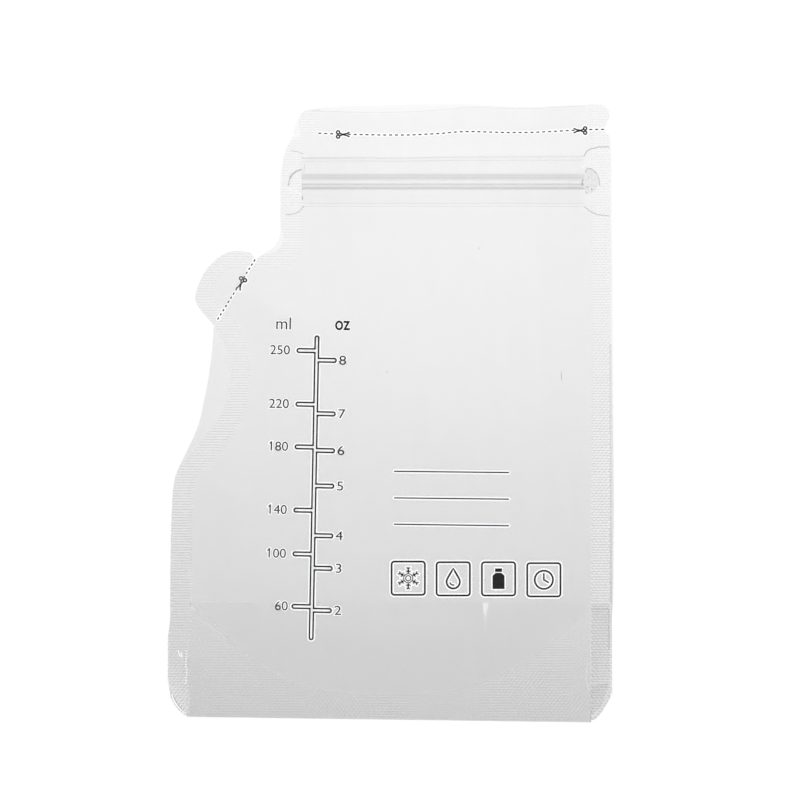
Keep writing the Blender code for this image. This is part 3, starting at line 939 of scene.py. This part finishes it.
class Shapes:
    """Flat shapes that are gathered and then laid on the front film."""

    def __init__(self):
        self.points, self.faces = [], []

    def shape(self, path):
        """A filled outline."""
        start = len(self.points)
        self.points += path
        self.faces.append(tuple(range(start, start + len(path))))

    def stroke(self, path, width, closed=False, step=1.5 * MM):
        """A line of even width with round ends."""
        path = divided([Vector(p) for p in path], step, closed)
        sides = []
        for i, point in enumerate(path):
            before = path[i - 1] if i or closed else point
            after = path[(i + 1) % len(path)] if i + 1 < len(path) or closed else point
            run = (after - before).normalized() * width / 2
            across = Vector((-run.y, run.x))
            start = len(self.points)
            self.points += [point + across, point - across]
            sides.append((start, start + 1, run, across, point))
        for (a, b, *_), (c, d, *_) in zip(sides, sides[1:] + (sides[:1] if closed else [])):
            self.faces.append((a, b, d, c))
        if not closed:
            for (a, b, run, across, point), way in ((sides[0], -1), (sides[-1], 1)):
                cap = [
                    point + across * math.cos(t) + run * way * math.sin(t)
                    for t in (math.pi * k / 6 for k in range(7))
                ]
                self.shape(cap)

    def arc(self, centre, radius, start, turn, width):
        """A line of even width round a centre, from an angle through a turn, in degrees."""
        count = max(4, int(abs(turn) / 20))
        closed = abs(turn) >= 360
        steps = count if closed else count + 1
        angles = [math.radians(start + turn * i / count) for i in range(steps)]
        centre = Vector(centre)
        path = [centre + Vector((math.cos(a), math.sin(a))) * radius for a in angles]
        self.stroke(path, width, closed)

    def words(self, text, place, height, align="LEFT", weight=0.0, wide=1.0):
        """Plain figures; height is that of a digit, and wide stretches them sideways."""
        curve = bpy.data.curves.new("figures", "FONT")
        curve.body = text
        curve.align_x = align
        curve.size = height / digit_share
        curve.offset = weight
        holder = bpy.data.objects.new("figures", curve)
        bpy.context.scene.collection.objects.link(holder)
        bpy.context.view_layer.update()
        seen = holder.evaluated_get(bpy.context.evaluated_depsgraph_get())
        mesh = bpy.data.meshes.new_from_object(seen)
        start = len(self.points)
        self.points += [Vector((v.co.x * wide, v.co.y)) + Vector(place) for v in mesh.vertices]
        self.faces += [tuple(start + i for i in f.vertices) for f in mesh.polygons]
        bpy.data.objects.remove(holder)
        bpy.data.meshes.remove(mesh)

    def turned(self, centre, degrees):
        """Everything so far, turned about centre."""
        cos, sin = math.cos(math.radians(degrees)), math.sin(math.radians(degrees))
        for i, p in enumerate(self.points):
            q = p - Vector(centre)
            self.points[i] = Vector(centre) + Vector((q.x * cos - q.y * sin, q.x * sin + q.y * cos))

    def lay(self, name, material, lift=ink_height, only=lambda p: True):
        """The shapes as a mesh on the front film: the faces whose middle passes the test."""
        faces = []
        for face in self.faces:
            middle = sum((self.points[i] for i in face), Vector((0, 0))) / len(face)
            if only(middle):
                faces.append(face)
        used = sorted({i for f in faces for i in f})
        number = {old: new for new, old in enumerate(used)}
        places = []
        for i in used:
            p = self.points[i]
            places.append((p.x, p.y + sway(p.x, p.y), front_level(p.x, p.y) + lift))
        faces = [tuple(number[i] for i in f) for f in faces]
        faces = [f if area([self.points[used[i]] for i in f]) > 0 else f[::-1] for f in faces]
        return put_mesh(name, places, faces, material, smooth_faces=False)


def lines(name, material, strokes, lift=line_height):
    """Fine lines on the pouch; each stroke is its width and its points, in millimetres."""
    shapes = Shapes()
    for width, *points in strokes:
        shapes.stroke(millimetres(points), width * MM, step=1.0 * MM)
    fasten(shapes.lay(name, material, lift), "pouch")


ground_margin = 0.46 * MM       # the white ground stands out this far round the black
figure_ground_share = 0.6       # and this share of that round the figures


class Print:
    """Black ink, and the white ground that stands out round it."""

    def __init__(self):
        self.ink, self.ground = Shapes(), Shapes()

    def stroke(self, path, width, closed=False):
        self.ink.stroke(path, width, closed)
        self.ground.stroke(path, width + 2 * ground_margin, closed)

    def arc(self, centre, radius, start, turn, width):
        self.ink.arc(centre, radius, start, turn, width)
        self.ground.arc(centre, radius, start, turn, width + 2 * ground_margin)

    def shape(self, path):
        self.ink.shape(path)
        self.ground.stroke(path, 2 * ground_margin, closed=True)

    def words(self, text, place, height, align="LEFT", weight=0.0, wide=1.0):
        self.ink.words(text, place, height, align, weight, wide)
        bold = weight + figure_ground_share * ground_margin
        self.ground.words(text, place, height, align, bold, wide)

    def turned(self, centre, degrees):
        self.ink.turned(centre, degrees)
        self.ground.turned(centre, degrees)

    def lay(self, name, only=lambda p: True):
        """The two layers as meshes on the front film."""
        return (
            self.ground.lay(f"{name}_ground", white_ink, ink_height / 2, only),
            self.ink.lay(f"{name}_print", black_ink, ink_height, only),
        )


scale_top = Vector((-23.05 * MM, 23.8 * MM))
scale_length = 94.65 * MM
stem_half = 0.56 * MM           # half the width between the stem's two lines
tick_half = 0.57 * MM
scale_line = 0.50 * MM
tick_reach = 5.6 * MM
# How far out the figures stand on each side, in millimetres, and how much wider they are drawn
figure_reach = {-1: 8.35, 1: 7.0}
figure_width = {-1: 1.04, 1: 1.2}
# Each mark: its figure, and how far it is below the top, in millimetres
millilitres = ((250, 4.08), (220, 21.03), (180, 34.5), (140, 54.46), (100, 68.28), (60, 84.86))
ounces = ((8, 7.0), (7, 23.9), (6, 35.5), (5, 46.7), (4, 62.4), (3, 72.67), (2, 85.97))
two_digit_shift = 0.9 * MM      # the one figure with two digits stands this much nearer
figure_height = 2.9 * MM
figure_drop = 0.14 * MM         # the font's digits start this much under their middle
# The flag of a leading 1: its tip from the figure's right end, and its stroke
flag_tip = Vector((-5.26 * MM, 2.8 * MM))
flag_run = Vector((-0.6 * MM, -0.5 * MM))
flag_line = 0.34 * MM
# The two units: place, height and weight, in millimetres, and how much wider they are drawn
units = (("ml", -36.3, 26.3, 3.9, -0.01, 0.96), ("oz", -17.5, 26.5, 4.3, 0.09, 0.8))
print_lean = -1.12              # the print runs this many degrees askew


def make_scale():
    """A stem with round-ended ticks on both sides, and a figure beside each."""
    scale = Print()
    x0, top = scale_top
    bottom = top - scale_length
    for side, marks in ((-1, millilitres), (1, ounces)):
        x, start = x0 + side * stem_half, top
        end = x0 + side * tick_reach
        for value, below in marks:
            y = top - below * MM
            for edge in (-tick_half, tick_half):
                scale.stroke([(x, y + edge), (end, y + edge)], scale_line)
            scale.arc((end, y), tick_half, 90, 180 * -side, scale_line)
            scale.stroke([(x, start), (x, y + tick_half)], scale_line)
            start = y - tick_half
            figure_x = x0 + side * figure_reach[side] * MM
            if 10 <= value < 100:
                figure_x += two_digit_shift
            low = y - figure_height / 2 + figure_drop
            scale.words(
                str(value), (figure_x, low), figure_height,
                "RIGHT" if side < 0 else "LEFT", wide=figure_width[side],
            )
            if 100 <= value < 200:
                flag = Vector((figure_x, low)) + flag_tip
                scale.stroke([flag, flag + flag_run], flag_line)
        scale.stroke([(x, start), (x, bottom)], scale_line)
    scale.arc((x0, top), stem_half, 0, 180, scale_line)
    scale.arc((x0, bottom), stem_half, 180, 180, scale_line)
    for unit, x, y, height, weight, wide in units:
        scale.words(unit, (x * MM, y * MM), height * MM, weight=weight * MM, wide=wide)
    scale.turned(scale_top, print_lean)
    for made in scale.lay("milk_scale", lambda p: p.y >= fold_y):
        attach(made, "pouch")
    for made in scale.lay("milk_scale_foot", lambda p: p.y < fold_y):
        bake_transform(made)


# Write-on lines: the heights of their left and right ends, and those ends' places along X,
# in millimetres
write_on_heights = ((-18.3, -18.7), (-26.7, -27.1), (-35.0, -35.5))
write_on_left, write_on_right = 1.4, 37.4
write_on_line = 0.40 * MM

# Pictograms: side, corner radius and line of their frames
picture_side, picture_corner, picture_line = 10.5 * MM, 0.85 * MM, 0.58 * MM


def rounded_square(left, low, size, radius):
    """A square's outline with round corners, anticlockwise from the top of its right side."""
    near, far = radius, size - radius
    path = []
    for corner, (x, y) in enumerate(((far, far), (near, far), (near, near), (far, near))):
        centre = Vector((left + x, low + y))
        for k in range(5):
            a = math.radians(90 * (corner + k / 4))
            path.append(centre + Vector((math.cos(a), math.sin(a))) * radius)
    return path


def draw_snowflake(ink, centre):
    """Two rings, and six arms with a knob and two pairs of barbs each."""
    for radius, width in ((1.45, 0.26), (0.80, 0.30)):
        ink.arc(centre, radius * MM, 0, 360, width * MM)
    for k in range(6):
        turn = math.radians(60 * k + 90)
        out = Vector((math.cos(turn), math.sin(turn)))
        side = Vector((-out.y, out.x))
        ink.stroke([centre + out * 1.7 * MM, centre + out * 3.3 * MM], 0.28 * MM)
        ink.arc(centre + out * 2.3 * MM, 0.16 * MM, 0, 360, 0.36 * MM)
        for way in (-1, 1):
            for place, lean, length, width in ((2.9, 1.0, 0.5, 0.30), (1.9, 0.5, 0.75, 0.22)):
                root = centre + out * place * MM
                ink.stroke([root, root + (out * lean + side * way) * length * MM], width * MM)


def draw_drop(ink, centre):
    """The outline of a drop, and a glint inside it."""
    path = []
    for k in range(25):
        a = math.radians(-210 + 240 * k / 24)
        path.append(centre + Vector((math.cos(a), math.sin(a) - 0.45)) * 2.1 * MM)
    ink.stroke(path + [centre + Vector((0, 3.3 * MM))], picture_line, closed=True)
    ink.arc(centre + Vector((0, -0.9 * MM)), 1.05 * MM, 200, 80, 0.42 * MM)


def draw_bottle(ink, centre):
    """A bottle's body and cap, both filled."""
    body = [(-1.9, -3.2), (1.9, -3.2), (1.9, 1.0), (0.9, 1.9), (-0.9, 1.9), (-1.9, 1.0)]
    cap = [(-1.1, 2.2), (1.1, 2.2), (1.1, 3.3), (-1.1, 3.3)]
    for outline in (body, cap):
        ink.shape([centre + p for p in millimetres(outline)])


def draw_clock(ink, centre):
    """A clock face with two hands."""
    ink.arc(centre, 2.9 * MM, 0, 360, picture_line)
    for hand in millimetres([(0, 1.9), (1.4, -0.8)]):
        ink.stroke([centre, centre + hand], 0.5 * MM)


def make_panel():
    """Write-on lines and the row of pictograms, which are plain generic ones."""
    panel = Print()
    for left_y, right_y in write_on_heights:
        ends = millimetres([(write_on_left, left_y), (write_on_right, right_y)])
        panel.stroke(ends, write_on_line)
    for draw, left, low in (
        (draw_snowflake, 0.5, -57.3), (draw_drop, 14.7, -57.5), (draw_bottle, 29.0, -57.5),
        (draw_clock, 43.3, -57.8),
    ):
        square = rounded_square(left * MM, low * MM, picture_side, picture_corner)
        panel.stroke(square, picture_line, closed=True)
        draw(panel, Vector((left * MM + picture_side / 2, low * MM + picture_side / 2)))
    for made in panel.lay("panel"):
        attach(made, "pouch")


def scissors(ink, centre, degrees, size):
    """Open scissors whose blades point along the angle."""
    along = Vector((math.cos(math.radians(degrees)), math.sin(math.radians(degrees))))
    side = Vector((-along.y, along.x))
    for way in (-1, 1):
        ring = centre + (along * -0.75 + side * way * 0.34) * size
        ink.arc(ring, 0.25 * size, 0, 360, 0.22 * size)
        blade = [
            ring + (along * 0.24 - side * way * 0.12) * size,
            centre + (along * 0.15 - side * way * 0.06) * size,
            centre + (along * 0.6 - side * way * 0.14) * size,
            centre + (along * 1.0 - side * way * 0.34) * size,
        ]
        ink.stroke(blade, 0.22 * size)


def point_along(path, distance):
    """The point at a distance along an open path."""
    for a, b in zip(path, path[1:]):
        reach = (b - a).length
        if distance <= reach:
            return a.lerp(b, distance / reach)
        distance -= reach
    return path[-1]


def dashes(ink, path, scissor_marks, clear, pitch, dash, width):
    """A row of dashes with round ends, left out this near to the scissors' middle."""
    length = sum((b - a).length for a, b in zip(path, path[1:]))
    for k in range(int((length - dash) / pitch) + 1):
        a, b = point_along(path, k * pitch), point_along(path, k * pitch + dash)
        if all(((a + b) / 2 - mark).length > clear for mark in scissor_marks):
            ink.stroke([a, b], width)


def unswayed(pairs):
    """Points, in millimetres, which the sway of the web then brings to where they are given."""
    return [Vector((p.x, p.y - sway(p.x, p.y))) for p in millimetres(pairs)]


def make_cut_prints():
    """The two cut lines, each a row of dashes with scissors on it."""
    size, clear = 2.0 * MM, 1.85 * MM
    header = Print()
    cut = smooth(unswayed([
        (-22.45, 88.42), (-18.9, 88.26), (-11.35, 88.0), (-3.8, 87.87), (1.9, 87.84), (7.6, 87.9),
        (12.9, 88.16), (16.7, 88.38), (20.5, 88.76), (24.9, 88.93), (29.6, 88.82), (35.3, 88.66),
        (41.0, 88.65), (46.7, 88.76), (52.0, 89.01), (57.7, 89.33), (63.4, 89.58), (68.3, 89.64),
    ]))
    marks = unswayed([(-14.9, 88.0), (60.1, 89.25)])
    dashes(header, cut, marks, clear, pitch=1.86 * MM, dash=0.62 * MM, width=0.38 * MM)
    scissors(header, marks[0], 0, size)
    scissors(header, marks[1], 180, size)
    for made in header.lay("header_cut"):
        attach(made, "header")
    spout = Print()
    mark = Vector((-47.05 * MM, 40.95 * MM))
    cut = millimetres([(-42.7, 48.4), (-54.6, 29.37)])
    dashes(spout, cut, [mark], clear, pitch=1.543 * MM, dash=0.35 * MM, width=0.46 * MM)
    scissors(spout, mark, 180 + 64, size)
    for made in spout.lay("spout_cut"):
        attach(made, "spout_ear")


def make_fine_lines():
    """Cut edges, weld borders and creases that show as fine grey or white lines, and painted
    highlights where the melt glints.
    """
    left, right = mouth_left / MM, tape_end / MM
    shapes = Shapes()
    for width, y_left, y_right in (
        (0.40, 80.55, 81.1), (0.20, 79.6, 79.95), (0.12, 66.3, 66.3), (0.11, 65.3, 65.3),
    ):
        shapes.stroke(millimetres([(left, y_left), (right, y_right)]), width * MM)

    def tape_lines(name, side, middle):
        return shapes.lay(name, faint_film, line_height, lambda p: (p.x - middle) * side > 0)

    halves("zip_tape_edges", (mouth_left, mouth_right), (), tape_lines)
    lines("zip_end_borders", edge_film, (
        (0.36, (61.3, 81.3), (62.1, 82.7), (63.4, 83.5), (65.0, 83.8), (65.7, 84.1), (69.1, 84.1)),
        (0.30, (61.4, 65.2), (63.1, 63.8), (65.3, 62.7), (69.1, 62.3)),
        (0.18, (-31.3, 82.9), (-29.2, 82.6), (-27.4, 81.9)),
        (0.26, (-27.2, 65.3), (-28.9, 63.5), (-31.4, 62.7), (-32.9, 62.7)),
        (0.60, (-28.1, 76.9), (-29.4, 76.5), (-30.8, 75.5), (-31.5, 74.5)),
        (0.40, (-31.4, 74.6), (-31.9, 73.2), (-32.1, 71.9)),
        (0.36, (-27.7, 68.5), (-27.6, 67.5)), (0.12, (-27.2, 76.2), (-26.9, 78.6)),
        (0.30, (61.6, 76.2), (62.4, 77.2), (63.7, 77.2), (65.0, 76.0), (66.0, 74.0), (66.1, 72.0)),
        (0.45, (60.9, 73.7), (60.6, 72.9), (60.8, 72.0)),
        (0.30, (62.6, 74.6), (62.8, 74.4)), (0.30, (62.2, 71.6), (62.5, 71.2)),
        (0.30, (61.9, 69.9), (62.2, 69.6)), (0.26, (63.5, 70.9), (63.8, 70.5)),
    ))
    # Painted highlights: glinting beads of melt at the zip's ends
    lines("zip_end_painted_glints", painted_glints, (
        (0.45, (-26.4, 81.4), (-26.3, 81.3)), (0.30, (-27.5, 79.4), (-27.5, 79.0)),
        (0.42, (-31.8, 71.0), (-31.0, 70.6)), (0.42, (-30.1, 70.4), (-29.4, 69.9)),
        (0.45, (-29.2, 69.8), (-28.0, 69.0)), (0.36, (-27.7, 66.2), (-27.6, 65.8)),
        (0.30, (62.9, 71.2), (63.2, 70.9)), (0.34, (62.7, 69.4), (63.0, 69.1)),
        (0.30, (61.2, 68.6), (61.2, 68.3)), (0.3, (61.3, 78.5), (61.5, 78.5)),
        (0.24, (61.2, 80.0), (61.2, 79.7)), (0.26, (60.9, 77.4), (61.6, 77.6)),
    ), above_knurl)
    arc = [Vector((x, weld_arc(x * MM) / MM)) for x in range(-62, -18, 2)]
    near, far = Vector((0.2, 0.1)), Vector((1.1, 0.8))
    lines("weld_border_left", pale_line_film, [
        (0.32, *[p + near for p in arc[:9]]),
        (0.20, *[p + near for p in arc[8:14]]),
        (0.30, *[p + far for p in arc[1:6]]),
        (0.14, (-63.2, -59.4), (-52, -59.5), (-42, -59.6)),
    ])
    lines("right_fold_line", edge_film, [
        (0.16, (63.6, -61.8), (69.0, -61.7)), (0.16, (69.1, -62), (69.1, -74.6)),
    ], above_knurl)
    # Painted highlights: glinting dots along the left tack, and a glint along the left corner
    dots = []
    for k in range(13):
        y = -75.0 - 0.84 * k
        dots.append((0.38, (-64.35 + 0.3 * math.sin(k), y), (-64.3, y - 0.1)))
    dots += [(0.40, (-66.9, -75.0), (-66.3, -76.6)), (0.34, (-65.9, -75.6), (-65.7, -76.9))]
    lines("left_tack_painted_glints", painted_glints, dots, above_knurl)
    lines("corner_glint", painted_glints, [
        (0.32, (-68.8, -88.9), (-68.3, -90.5), (-67.0, -92.45), (-65.4, -94.05), (-64.2, -95.0)),
    ], above_knurl)
    lines("corner_border", edge_film, [
        (0.28, (-68.3, -89.3), (-67.8, -90.7), (-66.4, -92.7), (-64.9, -94.3), (-63.9, -95.1)),
    ], above_knurl)
    lines("right_tack_border", white_film, [
        (0.22, (62.6, -79.0), (61.9, -81.5), (61.9, -84.5), (62.8, -87.5)),
    ])
    lines("specks", edge_film, [
        (0.30, (28.3, 52.2), (28.0, 52.0)), (0.26, (-1.0, 13.1), (-0.7, 13.0)),
        (0.22, (54.0, 13.0), (54.2, 10.6)), (0.26, (-30.8, 2.3), (-30.5, 2.3)),
    ])


# Studio, in metres

table_side, table_drop, table_glow = 8, 0.02 * MM, 0.72
card_width, card_length, card_level = 0.72, 2.0, 1.5
box_width, box_length, box_strength = 0.5, 1.4, 1.6
box_aside, box_level, box_tilt = 1.05, 1.3, math.radians(35)


def seen_directly(tree):
    """1 for rays from the camera, and for those that metal or glass sends on."""
    path = add(tree, "ShaderNodeLightPath")
    pair = add(
        tree, "ShaderNodeMath",
        {0: path.outputs["Is Camera Ray"], 1: path.outputs["Is Glossy Ray"]}, operation="MAXIMUM",
    )
    both = add(
        tree, "ShaderNodeMath",
        {0: pair.outputs["Value"], 1: path.outputs["Is Transmission Ray"]}, operation="MAXIMUM",
    )
    return both.outputs["Value"]


def flat_panel(name, size_x, size_y, place, turn, material):
    """A rectangle that belongs to the studio and not to the bag."""
    x, y = size_x / 2, size_y / 2
    made = put_mesh(name, [(-x, -y, 0), (x, -y, 0), (x, y, 0), (-x, y, 0)], [(0, 1, 2, 3)], material)
    made.location = place
    made.rotation_euler = turn


def make_floor():
    """A white table that shows white to the camera, straight or mirrored, and takes shadows."""
    made, tree = new_material("white_table")
    paper = add(tree, "ShaderNodeBsdfDiffuse", {"Color": colour("#e6e6e6")})
    thin = add(tree, "ShaderNodeBsdfDiffuse", {"Color": colour("#9a9a9a")})
    lit = add(tree, "ShaderNodeEmission", {"Color": colour("#ffffff"), "Strength": table_glow})
    shown = add(
        tree, "ShaderNodeAddShader", {0: thin.outputs["BSDF"], 1: lit.outputs["Emission"]},
    )
    whole = add(
        tree, "ShaderNodeMixShader",
        {0: seen_directly(tree), 1: paper.outputs["BSDF"], 2: shown.outputs["Shader"]},
    )
    add(tree, "ShaderNodeOutputMaterial", {"Surface": whole.outputs["Shader"]})
    flat_panel("table", table_side, table_side, (0, 0, -table_drop), (0, 0, 0), made)


# The card's brightness at places along its length, in metres
card_fade = (
    (-0.215, 0.0), (-0.165, 0.10), (-0.150, 0.10), (-0.122, 0.205), (-0.075, 0.31), (-0.020, 0.475),
    (0.020, 0.59), (0.080, 0.705), (0.150, 0.80), (0.165, 0.86), (0.180, 0.94), (0.195, 0.93),
    (0.212, 0.86), (0.229, 0.93), (0.255, 0.88), (0.280, 0.88), (0.40, 1.2),
)
card_middle = 0.043
card_side_fade = -4.8           # share per square metre away from the card's middle line
card_rim = (0.215, 0.317, 0.32)  # its right rim brightens between these places, by this much


def make_card():
    """A card over the camera that fades from white to black, which the flat film mirrors."""
    made, tree = new_material("fading_card")
    place = add(tree, "ShaderNodeTexCoord")
    parts = add(tree, "ShaderNodeSeparateXYZ", {"Vector": place.outputs["Object"]})
    low, high, brightest = card_fade[0][0], card_fade[-1][0], card_fade[-1][1]
    share = add(
        tree, "ShaderNodeMapRange", {"Value": parts.outputs["Y"], "From Min": low, "From Max": high},
    )
    fade = add(tree, "ShaderNodeValToRGB", {"Fac": share.outputs["Result"]})
    stops = fade.color_ramp.elements
    stops.remove(stops[1])
    for number, (along, bright) in enumerate(card_fade):
        stop = stops.new((along - low) / (high - low)) if number else stops[0]
        stop.color = (bright / brightest,) * 3 + (1.0,)
    lengthwise = add(
        tree, "ShaderNodeMath", {0: fade.outputs["Color"], 1: brightest}, operation="MULTIPLY",
    )
    aside = add(
        tree, "ShaderNodeMath", {0: parts.outputs["X"], 1: card_middle}, operation="SUBTRACT",
    ).outputs["Value"]
    square = add(tree, "ShaderNodeMath", {0: aside, 1: aside}, operation="MULTIPLY")
    shade = add(
        tree, "ShaderNodeMath", {0: square.outputs["Value"], 1: card_side_fade, 2: 1.0},
        operation="MULTIPLY_ADD",
    )
    rim_start, rim_end, rim_gain = card_rim
    rim = add(
        tree, "ShaderNodeMapRange",
        {"Value": aside, "From Min": rim_start, "From Max": rim_end, "To Max": rim_gain},
    )
    bright = add(
        tree, "ShaderNodeMath",
        {0: lengthwise.outputs["Value"], 1: shade.outputs["Value"], 2: rim.outputs["Result"]},
        operation="MULTIPLY_ADD",
    )
    lit = add(
        tree, "ShaderNodeEmission", {"Color": colour("#ffffff"), "Strength": bright.outputs["Value"]},
    )
    add(tree, "ShaderNodeOutputMaterial", {"Surface": lit.outputs["Emission"]})
    flat_panel("fading_card", card_width, card_length, (0, 0, card_level), (0, 0, 0), made)


def make_soft_boxes():
    """A soft light on each side, and an even white sky."""
    made, tree = new_material("soft_box")
    lit = add(tree, "ShaderNodeEmission", {"Color": colour("#ffffff"), "Strength": box_strength})
    add(tree, "ShaderNodeOutputMaterial", {"Surface": lit.outputs["Emission"]})
    for side, name in ((-1, "left_soft_box"), (1, "right_soft_box")):
        place, turn = (side * box_aside, 0, box_level), (0, -side * box_tilt, 0)
        flat_panel(name, box_width, box_length, place, turn, made)
    world = bpy.data.worlds.new("studio")
    world.use_nodes = True
    world.node_tree.nodes.clear()
    sky = add(world.node_tree, "ShaderNodeBackground", {"Color": colour("#ffffff"), "Strength": 1.0})
    add(world.node_tree, "ShaderNodeOutputWorld", {"Surface": sky.outputs["Background"]})
    bpy.context.scene.world = world


def make_camera():
    """Straight above the bag, a metre up, with the photograph's frame 252.6 mm wide."""
    width, distance = 252.6 * MM, 1.0
    view_x, view_y = 3.15 * MM, 4.2 * MM
    lens = bpy.data.cameras.new("camera")
    lens.sensor_width = 36
    lens.lens = lens.sensor_width * distance / width
    eye = bpy.data.objects.new("camera", lens)
    eye.location = (view_x, view_y, distance)
    bpy.context.scene.collection.objects.link(eye)
    bpy.context.scene.camera = eye
    bpy.context.scene.view_settings.view_transform = "Standard"


make_pouch()
make_left_side()
make_gusset_edges()
make_margins()
make_base()
make_zip()
make_crushed_end()
make_header()
make_spout()
make_tacks()
make_scale()
make_panel()
make_cut_prints()
make_fine_lines()
make_floor()
make_card()
make_soft_boxes()
make_camera()
